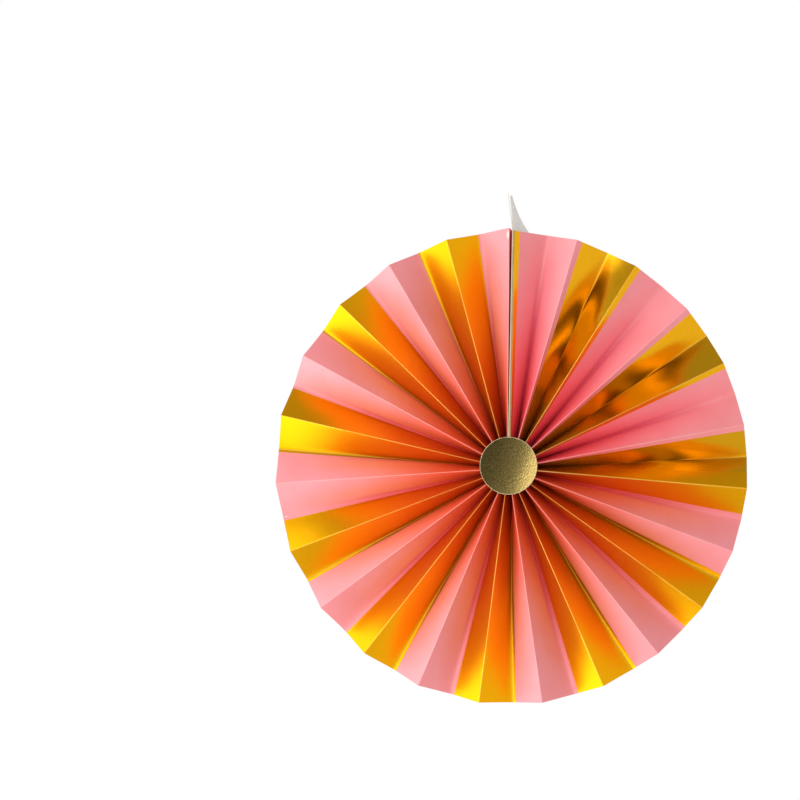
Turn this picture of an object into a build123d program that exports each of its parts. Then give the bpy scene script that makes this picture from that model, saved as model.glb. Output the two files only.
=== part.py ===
from build123d import *

import os
from math import asin, cos, exp, hypot, pi, sin, sqrt

os.makedirs("parts", exist_ok=True)

# Paper fan rosette: two printed paper strips, accordion folded and joined end to end, opened all the way
# round and held at the middle by a card disc on each face. Two end boards meet at the top and carry the
# hanging tab. X is to the right, Z is up to the tab, the front faces -Y and the back disc lies on Y = 0.

# Driving dimensions, in millimetres
fan_radius = 150.0
hub_radius = 6.0
pleat_count = 23
right_pleat_count = 6
rim_depth = 12.3
paper = 0.3
facet_steps = 6

# Pleats that stand further open than the rest: extra opening, place as a share of the turn, and spread
wide_extra = 0.12
wide_place = 0.735
wide_spread = 0.046
loose_extra = 0.044
loose_place = 0.128
loose_spread = 0.057

# Seam at the top
board_thickness = 0.5
wall_gap = 0.7
right_splay = 9.2
left_splay = 0.8
hub_splay = 0.15
seam_gap = 1.5
glue_line = 0.1
tab_height = 23.5
tab_tip = 1.6
tab_hollow = 2.7
hang_hole_radius = 0.8
hang_hole_height = 15.5
hang_hole_inset = 2.7

# Discs at the middle: the front one is crowned and glued a little above the middle
disc_radius = 18.1
disc_thickness = 0.5
disc_crown = 0.9
crown_rings = 4
disc_up = 1.2

# The two ends of the pleats, hub and rim
HUB, RIM = 0, 1
end_radius = (hub_radius, fan_radius)
last_fold = 2 * pleat_count
join_fold = 2 * right_pleat_count

# First and last ridge stand beside the boards and the end flaps, clear of the seam plane X = 0
seam_stack = board_thickness + glue_line + paper
first_ridge_x = (seam_stack, seam_stack)
last_ridge_x = (-seam_stack, -seam_stack - seam_gap)


def opening(pleat):
    """Opening of one pleat against the common one."""
    place = (pleat + 0.5) / pleat_count
    wide = wide_extra * exp(-(((place - wide_place) / wide_spread) ** 2))
    loose = loose_extra * exp(-(((place - loose_place) / loose_spread) ** 2))
    return 1 + wide + loose


openings = [opening(pleat) for pleat in range(pleat_count)]


def fold_point(fold, end):
    """Place of a fold at the hub or the rim, seen from the front. Even folds are ridges, odd are valleys."""
    pleat, half = divmod(fold, 2)
    share = sum(openings[:pleat])
    if half:
        share += openings[pleat] / 2
    radius = end_radius[end]
    first = asin(first_ridge_x[end] / radius)
    last = 2 * pi + asin(last_ridge_x[end] / radius)
    angle = first + (last - first) * share / sum(openings)
    return Vector(radius * sin(angle), 0, radius * cos(angle))


# All panels are as wide as each other, so a pleat that stands further open is shallower. Each lies open at
# the rim, where a common one has the rim depth, and stands nearly upright at the hub.
common_step = pi / pleat_count
panel_width = hypot(rim_depth, 2 * fan_radius * sin(common_step / 2))


def panel_span(fold, end):
    """Distance from a fold to the next one at the hub or the rim, seen from the front."""
    return (fold_point(fold + 1, end) - fold_point(fold, end)).length


def panel_depth(span):
    return sqrt(panel_width**2 - span**2)


narrowest = [min(panel_span(fold, end) for fold in range(last_fold)) for end in (HUB, RIM)]
pleat_depth = [panel_depth(span) for span in narrowest]

# The inner corner of a fold lies this deep below its crest
fold_drop = paper / 2 * panel_width / narrowest[RIM]


def level_paper(span):
    """Thickness of a sloping panel, measured level."""
    return paper * panel_width / panel_depth(span)


def fold_flat(span):
    """How far a fold is flat on its crest, to each side."""
    return level_paper(span) - fold_drop * span / panel_depth(span)


# The mid plane of the pleats stands off the wall by half their depth and the back disc
mid_y = -pleat_depth[HUB] / 2 - disc_thickness

# The end boards and end flaps reach from the seam ridges back to just short of the wall
board_depth = pleat_depth[RIM] / 2 - mid_y - wall_gap


def place(across, forward, start, direction):
    """Point at the end of a pleat: so far from a fold along a direction, and so far in front of mid depth."""
    return start + direction * across + Vector(0, mid_y - forward, 0)


def rail(hub_point, rim_point):
    """Points along a straight line from the hub to the rim, where the facets of its walls meet."""
    return [hub_point + (rim_point - hub_point) * (step / facet_steps) for step in range(facet_steps + 1)]


def middle(rail_a, rail_b):
    return [(a + b) / 2 for a, b in zip(rail_a, rail_b)]


def panel_rails(ridge, valley, outline):
    """Rails through the corners of a panel's cross section, which is drawn from the ridge to the valley."""
    corners = []
    for end in (HUB, RIM):
        start = fold_point(ridge, end)
        across = fold_point(valley, end) - start
        shape = outline(across.length, end)
        corners.append([place(u, w, start, across.normalized()) for u, w in shape])
    return [rail(hub_point, rim_point) for hub_point, rim_point in zip(*corners)]


def seam_rails(ridge, side, lean):
    """Rails of an end flap: crest, inner corner of the fold, and round its back edge to the crest again."""
    corners = []
    for end in (HUB, RIM):
        crest = pleat_depth[end] / 2
        back = crest - board_depth
        shape = [
            (0, crest),
            (0, crest - fold_drop),
            (lean[end], back),
            (lean[end] - side * paper, back),
            (-side * paper, crest),
        ]
        corners.append([place(u, w, fold_point(ridge, end), Vector(1, 0, 0)) for u, w in shape])
    return [rail(hub_point, rim_point) for hub_point, rim_point in zip(*corners)]


def flat_wall(rail_a, rail_b):
    """Wall between two rails in flat facets, as the twisted panels of stiff paper are made."""
    faces = []
    for step in range(facet_steps):
        a, b = rail_a[step], rail_b[step]
        c, d = rail_b[step + 1], rail_a[step + 1]
        faces.append(Face(Wire.make_polygon([a, b, c])))
        faces.append(Face(Wire.make_polygon([a, c, d])))
    return faces


def smooth_wall(rail_a, rail_b):
    """Wall between two rails that follows their twist."""
    faces = []
    for step in range(facet_steps):
        near = Edge.make_line(rail_a[step], rail_b[step])
        far = Edge.make_line(rail_a[step + 1], rail_b[step + 1])
        faces.append(Face.make_surface_from_curves(near, far))
    return faces


def end_faces(rails):
    """The cut edges of the paper at the hub and at the rim."""
    return [Face(Wire.make_polygon([line[step] for line in rails])) for step in (0, facet_steps)]


def panel_outline(over=0.0, under=0.0):
    """Cross section of a panel from the ridge to the valley. At the join one crest lies under a layer of
    paper, and the panel that brings this layer reaches as far down inside the fold."""

    def outline(span, end):
        crest = pleat_depth[end] / 2
        foot = crest - panel_depth(span)
        return [
            (0, crest - under),
            (fold_flat(span), crest - under),
            (span, foot + fold_drop),
            (span, foot),
            (span - fold_flat(span), foot),
            (0, crest - under - over - fold_drop),
        ]

    return outline


def lap_outline(span, end):
    """Cross section of the glue flap: over the crest and half way down the front of a panel."""
    crest = pleat_depth[end] / 2
    under = crest - paper
    flat = fold_flat(span)
    level = level_paper(span)
    run = span - flat
    drop = panel_depth(span) - paper - fold_drop
    return [
        (0, under),
        (0, crest),
        (flat + level - paper * run / drop, crest),
        (flat + run / 2 + level, under - drop / 2),
        (flat + run / 2, under - drop / 2),
        (flat, under),
    ]


def panel_faces(rails):
    """Both sides of a panel and the flats of its folds; the folds stay open to the next panel."""
    crest, ridge_edge, valley_corner, valley, valley_edge, ridge_corner = rails
    front = middle(ridge_edge, valley_corner)
    back = middle(ridge_corner, valley_edge)
    faces = flat_wall(crest, ridge_edge) + flat_wall(valley_edge, valley)
    faces += flat_wall(ridge_edge, front) + flat_wall(front, valley_corner)
    faces += flat_wall(ridge_corner, back) + flat_wall(back, valley_edge)
    ends = [crest, ridge_edge, front, valley_corner, valley, valley_edge, back, ridge_corner]
    return faces + end_faces(ends)


def flap_faces(rails):
    crest, corner, inner_back, outer_back, outer_crest = rails
    faces = smooth_wall(corner, inner_back) + smooth_wall(inner_back, outer_back)
    faces += smooth_wall(outer_back, outer_crest) + smooth_wall(outer_crest, crest)
    return faces + end_faces(rails)


def ridge_and_valley(fold):
    """The two folds of the panel that starts at this fold."""
    return fold + fold % 2, fold + 1 - fold % 2


# How far the back of each end flap and each end board stands to the side of its front, at hub and rim
right_lean = (hub_splay, right_splay)
left_lean = (hub_splay, left_splay)
left_flap_lean = (-hub_splay, seam_gap - left_splay)

# Right strip: first pleats, clockwise from the seam to the join, where its last crest is a cut edge
right_faces = flap_faces(seam_rails(0, 1, right_lean))
for fold in range(join_fold - 1):
    right_faces += panel_faces(panel_rails(*ridge_and_valley(fold), panel_outline()))
last_rails = panel_rails(join_fold, join_fold - 1, panel_outline(under=paper))
right_faces += panel_faces(last_rails)
right_faces += flat_wall(last_rails[0], last_rails[-1])
with BuildPart() as right_strip:
    add(Solid(Shell(right_faces)))

# Left strip: from the join round to the seam, with a glue flap on the front of the right strip's last panel
lap_rails = panel_rails(join_fold, join_fold - 1, lap_outline)
lap_foot, lap_crest, lap_edge, lap_end, lap_end_foot, lap_edge_foot = lap_rails
left_faces = flat_wall(lap_crest, lap_edge) + flat_wall(lap_edge, lap_end) + flat_wall(lap_end, lap_end_foot)
left_faces += flat_wall(lap_edge_foot, lap_end_foot) + flat_wall(lap_edge_foot, lap_foot) + end_faces(lap_rails)
first_rails = panel_rails(join_fold, join_fold + 1, panel_outline(over=paper))
left_faces += panel_faces(first_rails)
left_faces += flat_wall(lap_foot, first_rails[-1])
for fold in range(join_fold + 1, last_fold):
    left_faces += panel_faces(panel_rails(*ridge_and_valley(fold), panel_outline()))
left_faces += flap_faces(seam_rails(last_fold, -1, left_flap_lean))
with BuildPart() as left_strip:
    add(Solid(Shell(left_faces)))


# End boards: a twisted strip of card between the flaps, cut to the outline with its tab
def board_line(ridge):
    """Hub and rim heights of the seam ridge, and how far the tab's tip carries on past the rim."""
    low = fold_point(ridge, HUB).Z
    high = fold_point(ridge, RIM).Z
    return low, high, (high + tab_height - low) / (high - low)


def front_y(share):
    """Depth of the boards' front edge, from the hub at 0 to the rim at 1 and on to the tip."""
    return mid_y - (pleat_depth[HUB] + (pleat_depth[RIM] - pleat_depth[HUB]) * share) / 2


def board_outline(ridge):
    """Corners of a board seen from the side, in Y and Z: heel, front of the tip, tip, shoulder, back."""
    low, high, reach = board_line(ridge)
    top = high + tab_height
    return [
        (front_y(0), low),
        (front_y(reach), top),
        (front_y(reach) + tab_tip, top),
        (front_y(1) + board_depth, high),
        (front_y(0) + board_depth, low),
    ]


with BuildPart() as right_end_board:
    low, high, reach = board_line(0)
    for share in (0, reach):
        lean = right_lean[HUB] + (right_lean[RIM] - right_lean[HUB]) * share
        with BuildSketch(Plane.XY.offset(low + (high - low) * share)):
            with BuildLine():
                Polyline(
                    (0, front_y(share)),
                    (board_thickness, front_y(share)),
                    (board_thickness + lean, front_y(share) + board_depth),
                    (lean, front_y(share) + board_depth),
                    close=True,
                )
            make_face()
    loft(ruled=True)
    heel, tip_front, tip, shoulder, back = board_outline(0)
    with BuildSketch(Plane.YZ):
        with BuildLine():
            Polyline(shoulder, back, heel, tip_front, tip)
            SagittaArc(tip, shoulder, -tab_hollow)
        make_face()
    extrude(amount=2 * right_splay + board_thickness, both=True, mode=Mode.INTERSECT)
    with BuildSketch(Plane.YZ):
        with Locations((front_y(1) + hang_hole_inset, high + hang_hole_height)):
            Circle(hang_hole_radius)
    extrude(amount=2 * right_splay + board_thickness, both=True, mode=Mode.SUBTRACT)

with BuildPart() as left_end_board:
    low, high, reach = board_line(last_fold)
    for share in (0, reach):
        lean = left_lean[HUB] + (left_lean[RIM] - left_lean[HUB]) * share
        with BuildSketch(Plane.XY.offset(low + (high - low) * share)):
            with BuildLine():
                Polyline(
                    (0, front_y(share)),
                    (-board_thickness, front_y(share)),
                    (-board_thickness - lean, front_y(share) + board_depth),
                    (-lean, front_y(share) + board_depth),
                    close=True,
                )
            make_face()
    loft(ruled=True)
    heel, tip_front, tip, shoulder, back = board_outline(last_fold)
    with BuildSketch(Plane.YZ):
        with BuildLine():
            Polyline(shoulder, back, heel, tip_front, tip)
            SagittaArc(tip, shoulder, -tab_hollow)
        make_face()
    extrude(amount=2 * left_splay + 2 * board_thickness, both=True, mode=Mode.INTERSECT)
    with BuildSketch(Plane.YZ):
        with Locations((front_y(1) + hang_hole_inset, high + hang_hole_height)):
            Circle(hang_hole_radius)
    extrude(amount=2 * left_splay + 2 * board_thickness, both=True, mode=Mode.SUBTRACT)

# Discs, glued on the ridges in front, where the crowned one rests on its edge, and flat on the folds behind
crown_radius = (disc_radius**2 + disc_crown**2) / (2 * disc_crown)
nearest_edge = disc_radius - disc_up
disc_rest = front_y((nearest_edge - hub_radius) / (fan_radius - hub_radius))


def crowned(across, depth):
    """Point of the front disc's section: so far from its axis, on the crowned face whose edge has this depth."""
    crown = sqrt(crown_radius**2 - across**2) - crown_radius + disc_crown
    return (across, depth - crown)


with BuildPart() as front_disc:
    with BuildSketch(Plane.XY.offset(disc_up)):
        with BuildLine():
            rings = [disc_radius * ring / crown_rings for ring in range(crown_rings + 1)]
            Polyline(
                *[crowned(across, disc_rest) for across in rings],
                *[crowned(across, disc_rest - disc_thickness) for across in reversed(rings)],
                close=True,
            )
        make_face()
    revolve(axis=Axis((0, 0, disc_up), (0, 1, 0)))

with BuildPart() as back_disc:
    with BuildSketch(Plane.XZ):
        Circle(disc_radius)
    extrude(amount=disc_thickness)

right_strip.part.label = "right_strip"
left_strip.part.label = "left_strip"
right_end_board.part.label = "right_end_board"
left_end_board.part.label = "left_end_board"
front_disc.part.label = "front_disc"
back_disc.part.label = "back_disc"

export_step(right_strip.part, "parts/right_strip.step")
export_step(left_strip.part, "parts/left_strip.step")
export_step(right_end_board.part, "parts/right_end_board.step")
export_step(left_end_board.part, "parts/left_end_board.step")
export_step(front_disc.part, "parts/front_disc.step")
export_step(back_disc.part, "parts/back_disc.step")
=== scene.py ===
import math

import bpy
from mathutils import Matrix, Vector, noise


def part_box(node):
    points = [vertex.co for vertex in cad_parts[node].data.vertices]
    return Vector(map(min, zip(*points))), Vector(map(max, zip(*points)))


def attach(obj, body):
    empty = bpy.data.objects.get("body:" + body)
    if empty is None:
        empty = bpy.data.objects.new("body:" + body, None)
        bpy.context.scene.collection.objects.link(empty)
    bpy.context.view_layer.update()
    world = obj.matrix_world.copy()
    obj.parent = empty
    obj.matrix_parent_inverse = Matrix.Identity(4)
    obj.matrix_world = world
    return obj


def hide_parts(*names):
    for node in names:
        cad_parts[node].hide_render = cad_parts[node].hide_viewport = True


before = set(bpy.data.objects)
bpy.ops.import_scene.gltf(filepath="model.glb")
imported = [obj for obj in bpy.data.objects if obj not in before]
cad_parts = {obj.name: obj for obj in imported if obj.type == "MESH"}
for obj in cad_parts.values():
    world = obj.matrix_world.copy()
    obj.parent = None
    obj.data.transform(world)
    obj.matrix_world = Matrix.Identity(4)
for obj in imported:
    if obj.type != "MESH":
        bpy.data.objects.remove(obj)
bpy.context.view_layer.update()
bpy.ops.object.select_all(action="DESELECT")

# Printed paper
# Two strips of stiff paper, pink with stripes of gold foil on the front and plain white behind, folded
# accordion wise across their length. Opened round the middle they make the full turn of the fan.
fan_radius = 0.150
hub_radius = 0.006
pleat_count = 23
join_fold = 12
last_fold = 2 * pleat_count
rim_depth = 0.0123
wide_extra, wide_place, wide_spread = 0.12, 0.735, 0.046
loose_extra, loose_place, loose_spread = 0.044, 0.128, 0.057
paper = 0.0003
board_thickness = 0.0005
wall_gap = 0.0007
glue_line = 0.0001
seam_gap = 0.0015
right_splay = 0.0092
left_splay = 0.0008
hub_splay = 0.00015
seam_rises = {last_fold: 0.0017, last_fold - 1: 0.0008}
disc_thickness = 0.0005
common_step = math.pi / pleat_count
panel_width = math.hypot(rim_depth, 2 * fan_radius * math.sin(common_step / 2))
seam_stack = board_thickness + glue_line + paper


def opening(pleat):
    """Opening of one pleat against the common one: two places round the fan stand wider."""
    place = (pleat + 0.5) / pleat_count
    wide = wide_extra * math.exp(-(((place - wide_place) / wide_spread) ** 2))
    loose = loose_extra * math.exp(-(((place - loose_place) / loose_spread) ** 2))
    return 1 + wide + loose


openings = [opening(pleat) for pleat in range(pleat_count)]


def turn(radius, gap):
    """First and last angle of the folds at one end of the pleats, clockwise from the top."""
    return math.asin(seam_stack / radius), 2 * math.pi - math.asin((seam_stack + gap) / radius)


def panel_depth(pleat, radius, gap):
    """Depth of one pleat: all panels are equally wide, so a pleat that stands further open is shallower."""
    first, last = turn(radius, gap)
    span = 2 * radius * math.sin((last - first) * openings[pleat] / sum(openings) / 4)
    return math.sqrt(panel_width**2 - span**2)


hub_depth = max(panel_depth(pleat, hub_radius, 0.0) for pleat in range(pleat_count))
deepest_rim = max(panel_depth(pleat, fan_radius, seam_gap) for pleat in range(pleat_count))
mid_y = -hub_depth / 2 - disc_thickness
board_depth = deepest_rim / 2 - mid_y - wall_gap


def fold_ends(fold):
    """Hub and rim ends of a fold, in the middle of the paper. Even folds are ridges, odd folds valleys."""
    pleat, half = divmod(fold, 2)
    turned = sum(openings[:pleat])
    if half:
        turned += openings[pleat] / 2
    turned /= sum(openings)
    ends = []
    for radius, depth, gap in ((hub_radius, hub_depth, 0.0), (fan_radius, deepest_rim, seam_gap)):
        first, last = turn(radius, gap)
        angle = first + (last - first) * turned
        y = mid_y - (depth - paper) / 2
        if half:
            y += panel_depth(pleat, radius, gap) - paper
        ends.append(Vector((radius * math.sin(angle), y, radius * math.cos(angle))))
    return ends


folds = [fold_ends(fold) for fold in range(last_fold + 1)]
for fold, rise in seam_rises.items():
    folds[fold][1].z += rise


def waver(seed, share, across=0.0):
    """Smooth chance value from -1 to 1 along a panel, the same in every run."""
    return noise.noise(Vector((seed * 3.71, share, across + 0.37)))


groove_wave = 0.0016
foil_buckle = 0.0008
paper_buckle = 0.0005


def foil_groove(panel):
    """Panels of the right strip whose valley lies in foil, where the fold is crisp and wavers in depth."""
    return panel % 4 > 1 and panel < join_fold


def fold_softness(panel, valley, share):
    """How round a valley fold is, against the panel's width: rounder near the hub, most on the left strip."""
    if foil_groove(panel):
        return 0.006 + 0.008 * share
    hub_softness = 0.05 if panel < join_fold else 0.18
    return 0.02 + 0.05 * share * (1 + waver(valley, 0.5)) + hub_softness * (1 - share)


def folded(strip_place, share):
    """Where a point of the flat strip goes when the pleats are folded and opened: strip_place counts panels
    from the seam, share runs from the hub to the rim."""
    panel = min(max(math.floor(strip_place), 0), last_fold - 1)
    across = strip_place - panel
    ridge, valley = (panel, panel + 1) if panel % 2 == 0 else (panel + 1, panel)
    if ridge != panel:
        across = 1 - across
    top = folds[ridge][0].lerp(folds[ridge][1], share)
    bottom = folds[valley][0].lerp(folds[valley][1], share)
    if foil_groove(panel):
        bottom.y += groove_wave * waver(valley + 30, 3.4 * share) * math.sin(math.pi * share)
    soft = fold_softness(panel, valley, share)
    rise = (math.hypot(1 - across, soft) - soft) / (math.hypot(1, soft) - soft)
    spot = top.lerp(bottom, across)
    spot.y = bottom.y + (top.y - bottom.y) * rise
    outward = (folds[ridge][1] - folds[ridge][0]).cross(bottom - top).normalized()
    if outward.y > 0:
        outward.negate()
    lively = foil_buckle if foil_groove(panel) else paper_buckle
    buckle = waver(panel, 3.1 * share, 0.6 * across) + 0.35 * waver(panel + 60, 8.0 * share, 1.4 * across)
    return spot + outward * lively * buckle * math.sin(math.pi * across) * min(1, 2.5 * share)


def end_flap(ridge, side, lean, back_share, share):
    """Where a point of an end flap goes: back from the seam ridge along its end board."""
    top = folds[ridge][0].lerp(folds[ridge][1], share)
    slant = lean[0] + (lean[1] - lean[0]) * share
    beside = side * paper / 2 * min(1, 12 * back_share)
    return top + Vector((slant * back_share - beside, board_depth * back_share, 0))


columns = 10
rows = 56
crowding = 0.7
ridge_round = 0.00014


def pleated_strip(name, first, last, where):
    """Flat printed strip, its columns of faces crowded at the folds, then folded, rounded and thickened."""
    bpy.ops.object.select_all(action="DESELECT")
    bpy.ops.mesh.primitive_grid_add(x_subdivisions=(last - first) * columns, y_subdivisions=rows, size=1)
    strip = bpy.context.object
    strip.name = name
    mesh = strip.data
    print_map = mesh.uv_layers[0]
    place = {}
    for vertex in mesh.vertices:
        column = (vertex.co.x + 0.5) * (last - first)
        share = vertex.co.y + 0.5
        whole = min(math.floor(column + 1e-6), last - first - 1)
        part = column - whole
        part -= crowding * math.sin(2 * math.pi * part) / (2 * math.pi)
        strip_place, spot = where(first + whole + part, share)
        place[vertex.index] = ((strip_place + 1) / (last_fold + 2), share)
        vertex.co = spot
    for loop in mesh.loops:
        print_map.data[loop.index].uv = place[loop.vertex_index]
    bpy.ops.object.mode_set(mode="EDIT")
    bpy.ops.mesh.select_all(action="DESELECT")
    bpy.ops.object.mode_set(mode="OBJECT")
    for edge in mesh.edges:
        spots = [place[index][0] * (last_fold + 2) - 1 for index in edge.vertices]
        on_ridge = all(abs(spot / 2 - round(spot / 2)) < 1e-4 for spot in spots)
        edge.select = on_ridge and -0.5 < spots[0] < last_fold + 0.5
    bpy.ops.object.mode_set(mode="EDIT")
    bpy.ops.mesh.select_mode(type="EDGE")
    bpy.ops.mesh.bevel(offset=ridge_round, segments=2, affect="EDGES", clamp_overlap=True)
    bpy.ops.mesh.select_all(action="SELECT")
    bpy.ops.mesh.normals_make_consistent(inside=False)
    bpy.ops.object.mode_set(mode="OBJECT")
    if sum(polygon.normal.y * polygon.area for polygon in mesh.polygons) > 0:
        mesh.flip_normals()
    mesh.materials.append(None)
    mesh.materials.append(None)
    thick = strip.modifiers.new("paper", "SOLIDIFY")
    thick.thickness = paper
    thick.offset = 0
    thick.material_offset = 1
    thick.material_offset_rim = 1
    bpy.ops.object.modifier_apply(modifier=thick.name)
    bpy.ops.object.shade_smooth_by_angle(angle=math.radians(25))
    return strip


def right_place(strip_place, share):
    """Right strip: an end flap, then panels up to the join."""
    if strip_place < 0:
        return strip_place, end_flap(0, 1, (hub_splay, right_splay), -strip_place, share)
    return strip_place, folded(strip_place, share)


def left_place(strip_place, share):
    """Left strip: a glue flap half a panel wide on the right strip, then panels, then an end flap."""
    if strip_place > last_fold:
        lean = (-hub_splay, seam_gap - left_splay)
        return strip_place, end_flap(last_fold, -1, lean, strip_place - last_fold, share)
    if strip_place < join_fold:
        strip_place = join_fold - (join_fold - strip_place) / 2
        spot = folded(strip_place, share)
        over = folds[join_fold][0].lerp(folds[join_fold][1], share)
        away = (folds[join_fold][1] - folds[join_fold][0]).cross(spot - over)
        if away.length > 0:
            away.normalize()
            if away.y > 0:
                away.negate()
            spot += away * paper
        return strip_place, spot
    return strip_place, folded(strip_place, share)


right_strip = pleated_strip("right_paper", -1, join_fold, right_place)
left_strip = pleated_strip("left_paper", join_fold - 1, last_fold + 1, left_place)


class Finish:
    """One socket of a material's nodes. Sums and products of values add Math nodes."""

    def __init__(self, tree, socket=None):
        self.tree = tree
        self.socket = socket

    def node(self, kind, settings=None, sockets=None, output=0):
        """Adds a node: its settings first, then a value or a link for each named or numbered socket."""
        made = self.tree.nodes.new(kind)
        for name, value in (settings or {}).items():
            if name == "stops":
                ramp = made.color_ramp.elements
                while len(ramp) < len(value):
                    ramp.new(0.5)
                for stop, (position, colour) in zip(ramp, value):
                    stop.position = position
                    stop.color = colour
            else:
                setattr(made, name, value)
        for name, value in (sockets or {}).items():
            if isinstance(value, Finish):
                self.tree.links.new(value.socket, made.inputs[name])
            else:
                made.inputs[name].default_value = value
        return Finish(self.tree, made.outputs[output])

    def value(self, operation, *others):
        sockets = {number: other for number, other in enumerate((self, *others))}
        return self.node("ShaderNodeMath", {"operation": operation}, sockets)

    def __add__(self, other):
        return self.value("ADD", other)

    def __sub__(self, other):
        return self.value("SUBTRACT", other)

    def __rsub__(self, other):
        return self.node("ShaderNodeMath", {"operation": "SUBTRACT"}, {0: other, 1: self})

    def __mul__(self, other):
        return self.value("MULTIPLY", other)

    def __truediv__(self, other):
        return self.value("DIVIDE", other)

    __radd__ = __add__
    __rmul__ = __mul__

    def step(self, low, high):
        """0 below low and 1 above high, smooth between them; low above high turns it round."""
        sockets = {"Value": self, "From Min": low, "From Max": high}
        return self.node("ShaderNodeMapRange", {"interpolation_type": "SMOOTHSTEP"}, sockets)

    def blend(self, colour_a, colour_b):
        """Colour a where this value is 0, colour b where it is 1."""
        sockets = {0: self, 6: colour_a, 7: colour_b}
        return self.node("ShaderNodeMix", {"data_type": "RGBA"}, sockets, 2)


def new_finish(name):
    """A new material: its nodes, its shader and the piece's own coordinates."""
    material = bpy.data.materials.new(name)
    material.use_nodes = True
    nodes = Finish(material.node_tree)
    shader = material.node_tree.nodes["Principled BSDF"]
    return material, nodes, shader, nodes.node("ShaderNodeTexCoord", output=3)


def feed(nodes, shader, **sockets):
    """Links or sets sockets of a shader, named with underscores for spaces."""
    for name, value in sockets.items():
        socket = shader.inputs[name.replace("_", " ")]
        if isinstance(value, Finish):
            nodes.tree.links.new(value.socket, socket)
        else:
            socket.default_value = value


pink_ink = (1.0, 0.312, 0.345, 1)
dull_ink = (0.97, 0.262, 0.278, 1)
valley_shade_ink = (0.70, 0.02, 0.09, 1)
rubbed_ink = (0.97, 0.66, 0.62, 1)
flap_ink_with_gap_light = (1.0, 0.13, 0.10, 1)
bare_paper = (0.84, 0.68, 0.72, 1)
hub_shade_foil = (0.75, 0.2, 0.004, 1)
rubbed_foil = (0.98, 0.64, 0.20, 1)


def chip(along, share, grain, spot, height, half_width, half_height):
    """A small place where the print is rubbed off, with a ragged edge."""
    across = (along - spot) / half_width
    up = (share - height) / half_height
    return (across * across + up * up + (grain - 0.5) * 3.0).step(1.0, 0.6)


def printed_front(
    name, first_edge, stripe, bounce_light_ink, hub_shade_ink, gold_foil, dull_foil, valley_shade_foil, haze, polish
):
    """Pink ink and gold foil in stripes across the strip, each about two panels wide, with painted shade and
    bounce light in the folds towards the hub.
    """
    material, nodes, shader, inside = new_finish(name)
    strip = nodes.node("ShaderNodeUVMap", {"uv_map": "UVMap"})
    along = nodes.node("ShaderNodeSeparateXYZ", sockets={0: strip}, output=0) * (last_fold + 2) - 1
    share = nodes.node("ShaderNodeSeparateXYZ", sockets={0: strip}, output=1)
    phase = ((along - first_edge) / (2 * stripe)).value("FRACT")
    foil = phase.step(0.4985, 0.5015) - phase.step(0.997, 1.0)
    grain = nodes.node("ShaderNodeTexNoise", sockets={"Vector": inside, "Scale": 2600, "Detail": 2})
    cloud = nodes.node("ShaderNodeTexNoise", sockets={"Vector": inside, "Scale": 55, "Detail": 3})
    crest = ((along / 2 + 0.5).value("FRACT") - 0.5).value("ABSOLUTE") * (2 * panel_width)
    worn = crest.step(0.0004, 0.0001) * (0.2 + cloud * 0.5) * (1.1 - share * 0.7)
    trough = ((along / 2).value("FRACT") - 0.5).value("ABSOLUTE") * (2 * panel_width)
    worn = worn.value("MAXIMUM", foil * trough.step(0.00025, 0.0001) * (0.2 + cloud * 0.5))
    ink = (cloud * 0.5 + grain * 0.5).step(0.3, 0.7).blend(dull_ink, pink_ink)
    # Painted shade and bounce light: towards the hub, where the pleats are deep, the ink turns a deeper red.
    ink = share.step(0.75, 0.1).blend(ink, hub_shade_ink)
    # Painted bounce light: a warm cast on each panel away from its ridge, strongest towards the hub.
    ink = (crest.step(0.003, 0.017) * share.step(0.98, 0.6) * 0.45).blend(ink, bounce_light_ink)
    # Painted shade: the ink darkens to crimson in the bottom of each valley fold, away from the rim.
    fold = trough.step(0.0065, 0.0008) * share.step(0.95, 0.5)
    ink = (fold * 0.6).blend(ink, valley_shade_ink)
    ink = worn.blend(ink, rubbed_ink)
    flap = along.step(last_fold + 0.03, last_fold + 0.15)
    # Partly painted light: the end flap keeps the print's pink, made redder and brighter to stand in for
    # light in the seam gap.
    ink = flap.blend(ink, flap_ink_with_gap_light)
    seam_chip = chip(along, share, grain, spot=45.97, height=0.972, half_width=0.045, half_height=0.018)
    rim_chip = chip(along, share, grain, spot=33.0, height=0.986, half_width=0.012, half_height=0.012)
    ink = seam_chip.value("MAXIMUM", rim_chip).blend(ink, bare_paper)
    leaf = grain.step(0.3, 0.7).blend(dull_foil, gold_foil)
    # Painted shade: the foil darkens in the bottom of each valley fold, away from the rim.
    leaf = (fold * 0.55).blend(leaf, valley_shade_foil)
    # Painted shade and reflection: the foil turns a darker red towards the hub.
    leaf = (share.step(0.4, 0.06) * 0.6).blend(leaf, hub_shade_foil)
    leaf = worn.blend(leaf, rubbed_foil)
    relief = nodes.node(
        "ShaderNodeBump", sockets={"Strength": 0.12, "Distance": 0.0002, "Height": grain + cloud * 0.5}
    )
    feed(
        nodes,
        shader,
        Base_Color=foil.blend(ink, leaf),
        Metallic=foil * (1 - worn * 0.6) * (1 - share.step(0.5, 0.1) * haze),
        Roughness=0.45 + foil * (grain * 0.08 - polish) + worn * 0.2 + flap * 0.5,
        Specular_IOR_Level=1.0,
        Normal=relief,
    )
    return material


def plain_paper():
    """The paper's own white, on the back and on every cut edge, with fine fibres."""
    material, nodes, shader, inside = new_finish("plain_paper")
    fibre = nodes.node("ShaderNodeTexNoise", sockets={"Vector": inside, "Scale": 1500, "Detail": 4})
    cloud = nodes.node("ShaderNodeTexNoise", sockets={"Vector": inside, "Scale": 120, "Detail": 3})
    relief = nodes.node("ShaderNodeBump", sockets={"Strength": 0.15, "Distance": 0.0002, "Height": fibre})
    feed(
        nodes,
        shader,
        Base_Color=cloud.step(0.25, 0.75).blend((0.80, 0.79, 0.76, 1), (0.86, 0.85, 0.82, 1)),
        Roughness=0.78 + fibre * 0.1,
        Normal=relief,
    )
    return material


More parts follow.
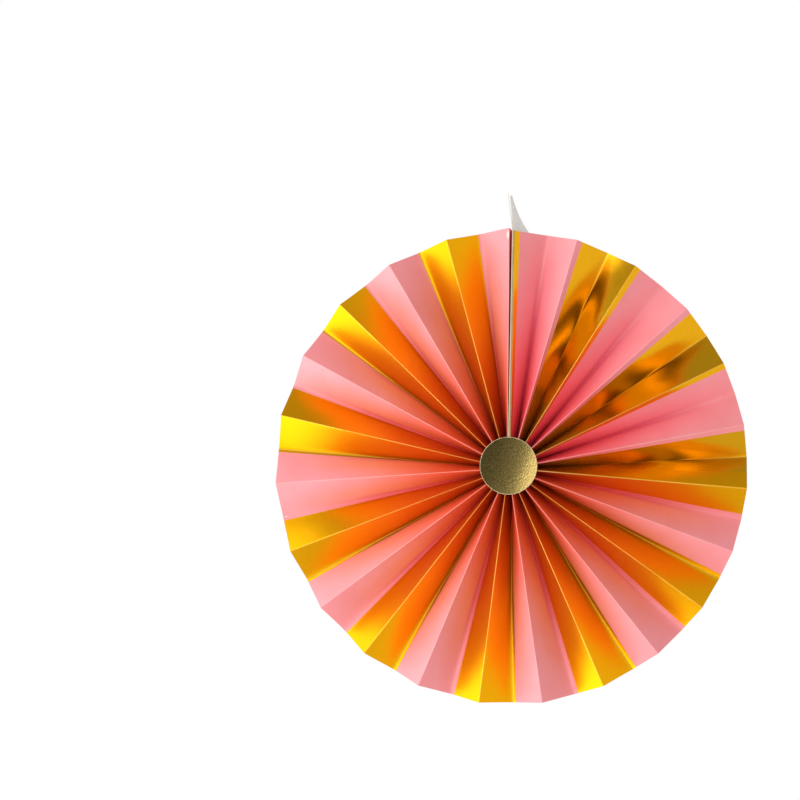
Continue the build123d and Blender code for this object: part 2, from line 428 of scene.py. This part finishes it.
white_paper = plain_paper()
right_print = printed_front(
    "right_print",
    first_edge=0.17,
    stripe=2.0,
    bounce_light_ink=(1.0, 0.215, 0.26, 1),
    hub_shade_ink=(1.0, 0.115, 0.145, 1),
    gold_foil=(0.87, 0.445, 0.012, 1),
    dull_foil=(0.77, 0.375, 0.008, 1),
    valley_shade_foil=(0.74, 0.40, 0.02, 1),
    haze=0.45,
    polish=0.31,
)
left_print = printed_front(
    "left_print",
    first_edge=12.82,
    stripe=2.009,
    bounce_light_ink=(1.0, 0.24, 0.085, 1),
    hub_shade_ink=(1.0, 0.11, 0.03, 1),
    gold_foil=(0.90, 0.43, 0.004, 1),
    dull_foil=(0.82, 0.37, 0.003, 1),
    valley_shade_foil=(0.26, 0.085, 0.005, 1),
    haze=0.1,
    polish=0.16,
)
for strip, print_side, node in (
    (right_strip, right_print, "right_strip"),
    (left_strip, left_print, "left_strip"),
):
    strip.data.materials[0] = print_side
    strip.data.materials[1] = white_paper
    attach(strip, "root")
    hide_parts(node)

# End boards
# Two strips of white card glued between the end flaps of the paper. They stand edge on at the top, part
# towards the back, and each carries one half of the hanging tab, which curls a little to the left.
tab_tip = 0.0016
tab_hollow = 0.0027
hang_hole_radius = 0.0008
hang_hole_height = 0.0155
hang_hole_inset = 0.0027
tab_card = (0.84, 0.82, 0.78, 1)


def front_edge(share):
    """Depth of the boards' front edge, from the hub at 0 to the rim at 1 and on to the tip."""
    return mid_y - (hub_depth + (deepest_rim - hub_depth) * share) / 2


def end_board(name, side, ridge, lean, curl, tab_height):
    """A board as a sheet of card, cut to the outline with its tab, leaned, curled and thickened."""
    low, high = folds[ridge][0].z, folds[0][1].z
    tip_share = (high + tab_height - low) / (high - low)
    tip = Vector((front_edge(tip_share) + tab_tip, high + tab_height))
    shoulder = Vector((front_edge(1) + board_depth, high))
    chord = tip - shoulder
    inward = Vector((-chord.y, chord.x)).normalized()
    bpy.ops.object.select_all(action="DESELECT")
    bpy.ops.mesh.primitive_grid_add(x_subdivisions=14, y_subdivisions=60, size=1)
    board = bpy.context.object
    board.name = name
    for vertex in board.data.vertices:
        u = vertex.co.x + 0.5
        row = (vertex.co.y + 0.5) * 2
        if row < 1:
            z = low + (high - low) * row
            back = front_edge(row) + board_depth
        else:
            hollow = shoulder + chord * (row - 1) + inward * (4 * tab_hollow * (row - 1) * (2 - row))
            back, z = hollow
        share = (z - low) / (high - low)
        y = front_edge(share) + (back - front_edge(share)) * u
        slant = (lean[0] + (lean[1] - lean[0]) * share) * (y - front_edge(share)) / board_depth
        bent = curl * max(0, (z - high) / tab_height) ** 1.1
        vertex.co = (side * (board_thickness / 2 + slant) - bent, y, z)
    bpy.ops.object.mode_set(mode="EDIT")
    bpy.ops.mesh.select_all(action="SELECT")
    bpy.ops.mesh.normals_make_consistent(inside=False)
    bpy.ops.object.mode_set(mode="OBJECT")
    board.data.materials.append(None)
    board.data.materials.append(None)
    thick = board.modifiers.new("card", "SOLIDIFY")
    thick.thickness = board_thickness
    thick.offset = 0
    thick.material_offset_rim = 1
    bpy.ops.object.modifier_apply(modifier=thick.name)
    bpy.ops.mesh.primitive_cylinder_add(
        vertices=32,
        radius=hang_hole_radius,
        depth=0.02,
        location=(0, front_edge(1) + hang_hole_inset, high + hang_hole_height),
        rotation=(0, math.pi / 2, 0),
    )
    punch = bpy.context.object
    bpy.ops.object.select_all(action="DESELECT")
    board.select_set(True)
    bpy.context.view_layer.objects.active = board
    hole = board.modifiers.new("hole", "BOOLEAN")
    hole.operation = "DIFFERENCE"
    hole.object = punch
    bpy.ops.object.modifier_apply(modifier=hole.name)
    bpy.data.objects.remove(punch)
    bpy.ops.object.shade_smooth_by_angle(angle=math.radians(30))
    return board


def card(name, light, dark, tab_paling):
    """Uncoated card with fibres, a little grey where it is handled, and paler on the hanging tab."""
    material, nodes, shader, inside = new_finish(name)
    fibre = nodes.node("ShaderNodeTexNoise", sockets={"Vector": inside, "Scale": 1800, "Detail": 4})
    cloud = nodes.node("ShaderNodeTexNoise", sockets={"Vector": inside, "Scale": 90, "Detail": 4})
    relief = nodes.node("ShaderNodeBump", sockets={"Strength": 0.2, "Distance": 0.0002, "Height": fibre})
    height = nodes.node("ShaderNodeSeparateXYZ", sockets={0: inside}, output=2)
    tab = height.step(fan_radius - 0.002, fan_radius + 0.004)
    stock = (cloud * 0.8 + fibre * 0.4 - 0.1).step(0.2, 0.8).blend(dark, light)
    feed(
        nodes,
        shader,
        # The stock turns towards the pale tab colour above the rim, by the given amount.
        Base_Color=(tab * tab_paling).blend(stock, tab_card),
        Roughness=0.8 + fibre * 0.1,
        Normal=relief,
    )
    return material


right_board = end_board(
    "right_board", side=1, ridge=0, lean=(hub_splay, right_splay), curl=0.0023, tab_height=0.0222
)
left_board = end_board(
    "left_board", side=-1, ridge=last_fold, lean=(hub_splay, left_splay), curl=0.0033, tab_height=0.0235
)
white_card = card("white_card", light=(0.90, 0.89, 0.86, 1), dark=(0.80, 0.78, 0.74, 1), tab_paling=0.0)
cream_edge = card("cream_edge", light=(0.86, 0.68, 0.50, 1), dark=(0.72, 0.54, 0.37, 1), tab_paling=0.8)
# Painted shade: the right board's cut edge is a darker brown than the left board's cream edge, for the shade
# down the seam.
shaded_brown_edge = card("shaded_brown_edge", light=(0.50, 0.35, 0.20, 1), dark=(0.34, 0.23, 0.12, 1), tab_paling=0.5)
for board, finishes, node in (
    (right_board, (white_card, shaded_brown_edge), "right_end_board"),
    (left_board, (white_card, cream_edge), "left_end_board"),
):
    board.data.materials[0], board.data.materials[1] = finishes
    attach(board, "root")
    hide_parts(node)

# Back disc
# A plain round of the same white card, glued on the rear folds at the middle. Its solid is shown as it is and
# only gets the card's finish.
back_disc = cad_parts["back_disc"]
back_disc.data.materials.clear()
back_disc.data.materials.append(white_card)

# Front disc
# A round of card faced with satin gold foil, punched out and glued on the ridges at the middle. Its face is
# crowned a little and its cut edge shows the pale core.
disc_radius = 0.0181
disc_crown = 0.0009
disc_low, disc_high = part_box("front_disc")
disc_middle = (disc_low + disc_high) / 2
rings = 9
edge_round = 0.0001
flat_middle = 0.0006
bpy.ops.object.select_all(action="DESELECT")
bpy.ops.mesh.primitive_cylinder_add(
    vertices=128,
    radius=disc_radius,
    depth=disc_thickness,
    end_fill_type="NGON",
    location=(disc_middle.x, disc_high.y - disc_thickness / 2, disc_middle.z),
    rotation=(math.pi / 2, 0, 0),
)
front_disc = bpy.context.object
front_disc.name = "gold_disc"
bpy.ops.object.transform_apply(location=True, rotation=True, scale=True)
for facing in (-1, 1):
    bpy.ops.object.mode_set(mode="EDIT")
    bpy.ops.mesh.select_all(action="DESELECT")
    bpy.ops.object.mode_set(mode="OBJECT")
    for polygon in front_disc.data.polygons:
        polygon.select = polygon.normal.y * facing > 0.9
    bpy.ops.object.mode_set(mode="EDIT")
    bpy.ops.mesh.select_mode(type="FACE")
    bpy.ops.mesh.inset(thickness=edge_round, depth=0)
    for ring in range(rings):
        bpy.ops.mesh.inset(thickness=(disc_radius - flat_middle) / rings, depth=0)
    bpy.ops.object.mode_set(mode="OBJECT")
for vertex in front_disc.data.vertices:
    across = math.hypot(vertex.co.x - disc_middle.x, vertex.co.z - disc_middle.z) / disc_radius
    vertex.co.y -= disc_crown * (1 - across**2)
bpy.ops.object.shade_smooth_by_angle(angle=math.radians(30))


def gold_card():
    """Satin gold foil with a fine grain and a faint crease on the face, pale card on the cut edge."""
    material, nodes, shader, inside = new_finish("gold_card")
    grain = nodes.node("ShaderNodeTexNoise", sockets={"Vector": inside, "Scale": 1500, "Detail": 3})
    fleck = nodes.node("ShaderNodeTexNoise", sockets={"Vector": inside, "Scale": 700, "Detail": 2})
    x = nodes.node("ShaderNodeSeparateXYZ", sockets={0: inside}, output=0) - disc_middle.x
    z = nodes.node("ShaderNodeSeparateXYZ", sockets={0: inside}, output=2) - disc_middle.z
    reach = (x * x + z * z).value("SQRT")
    edge = (reach + fleck * 0.0006).step(disc_radius, disc_radius + 0.00016)
    crease = (z - 0.0002).value("ABSOLUTE").step(0.00022, 0.00006) * x.step(-0.004, -0.007)
    foil = grain.step(0.35, 0.65).blend((0.38, 0.255, 0.065, 1), (0.66, 0.50, 0.18, 1))
    height = grain + fleck * 0.8 - crease * 1.0
    relief = nodes.node("ShaderNodeBump", sockets={"Strength": 0.13, "Distance": 0.0002, "Height": height})
    feed(
        nodes,
        shader,
        Base_Color=edge.blend(foil, (0.86, 0.72, 0.44, 1)),
        Metallic=1 - edge * 0.9,
        Roughness=0.1 + fleck * 0.08 + edge * 0.4,
        Normal=relief,
    )
    return material


front_disc.data.materials.append(gold_card())
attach(front_disc, "root")
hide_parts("front_disc")

# Stage
# The fan hangs clear of a plain pale floor, in a white room. What the foil mirrors of the room is darker
# straight ahead. A wide soft light stands close on the left.
bpy.ops.object.select_all(action="DESELECT")
bpy.ops.mesh.primitive_plane_add(size=1.4, location=(0, 0, -1.1))
floor = bpy.context.object
floor.name = "floor"
bpy.ops.object.transform_apply(location=True, rotation=True, scale=True)
floor_paint, nodes, shader, inside = new_finish("floor_paint")
patch = nodes.node("ShaderNodeTexNoise", sockets={"Vector": inside, "Scale": 3.0, "Detail": 3})
pale = patch.blend((0.84, 0.84, 0.84, 1), (0.88, 0.88, 0.88, 1))
feed(nodes, shader, Base_Color=pale, Roughness=0.85 + patch * 0.1)
floor.data.materials.append(floor_paint)

key = bpy.data.lights.new("key_light", "AREA")
key.shape = "RECTANGLE"
key.size, key.size_y = 0.76, 1.3
key.energy = 5.3
key_light = bpy.data.objects.new("key_light", key)
bpy.context.collection.objects.link(key_light)
key_spot = Vector((-0.49, -0.27, -0.09))
key_aim = Vector((-0.03, 0, 0))
key_light.location = key_spot
key_light.rotation_euler = (key_aim - key_spot).to_track_quat("-Z", "Y").to_euler()
key_light.visible_camera = False

world = bpy.data.worlds.new("white_room")
bpy.context.scene.world = world
world.use_nodes = True
air = Finish(world.node_tree)
direction = air.node("ShaderNodeTexCoord", output=0)


def towards(side):
    """1 in the direction of one side of the room, -1 opposite."""
    return air.node("ShaderNodeVectorMath", {"operation": "DOT_PRODUCT"}, {0: direction, 1: side}, 1)


behind = towards((0.0, 1.0, 0.0))
overhead = towards((-0.5, 0.0, 0.87))
ahead = towards((-0.10, -0.99, 0.03))
low_right = towards((0.95, 0.0, -0.3))
seen = air.node("ShaderNodeLightPath", output=0)
shiny = air.node("ShaderNodeLightPath", output=3).value("MAXIMUM", air.node("ShaderNodeLightPath", output=6))
white = (1, 1, 1, 1)
soft = overhead.step(1.0, -1.0).blend((0.64, 0.64, 0.645, 1), (0.70, 0.695, 0.69, 1))
soft = behind.step(0.0, 0.5).blend(soft, (0.95, 0.95, 0.95, 1))
room = overhead.step(0.95, -0.3).blend((0.42, 0.42, 0.43, 1), (0.98, 0.97, 0.96, 1))
front = low_right.step(-0.25, 0.03).blend((0.10, 0.10, 0.10, 1), (0.32, 0.32, 0.31, 1))
front = low_right.step(0.02, 0.10).blend(front, (1.9, 1.88, 1.84, 1))
room = ahead.step(0.89, 0.965).blend(room, front)
room = behind.step(-0.1, 0.2).blend(room, white)
room = seen.blend(shiny.blend(soft, room), white)
backdrop = world.node_tree.nodes["Background"]
feed(air, backdrop, Color=room, Strength=1.0)

# Camera
# Nearly straight in front of the fan, a little to its right and a little turned. The frame is shifted so that
# the fan sits low on the right.
lens = bpy.data.cameras.new("camera")
lens.lens = 85
lens.sensor_width = 36
lens.shift_x = -0.1394
lens.shift_y = 0.0846
camera = bpy.data.objects.new("camera", lens)
bpy.context.collection.objects.link(camera)
aside = math.radians(4.6)
distance = 1.2135
camera.location = (distance * math.sin(aside), -distance * math.cos(aside), 0)
roll = math.radians(-0.9)
camera.rotation_euler = (math.radians(90), roll, aside)
bpy.context.scene.camera = camera
bpy.context.scene.view_settings.view_transform = "Standard"
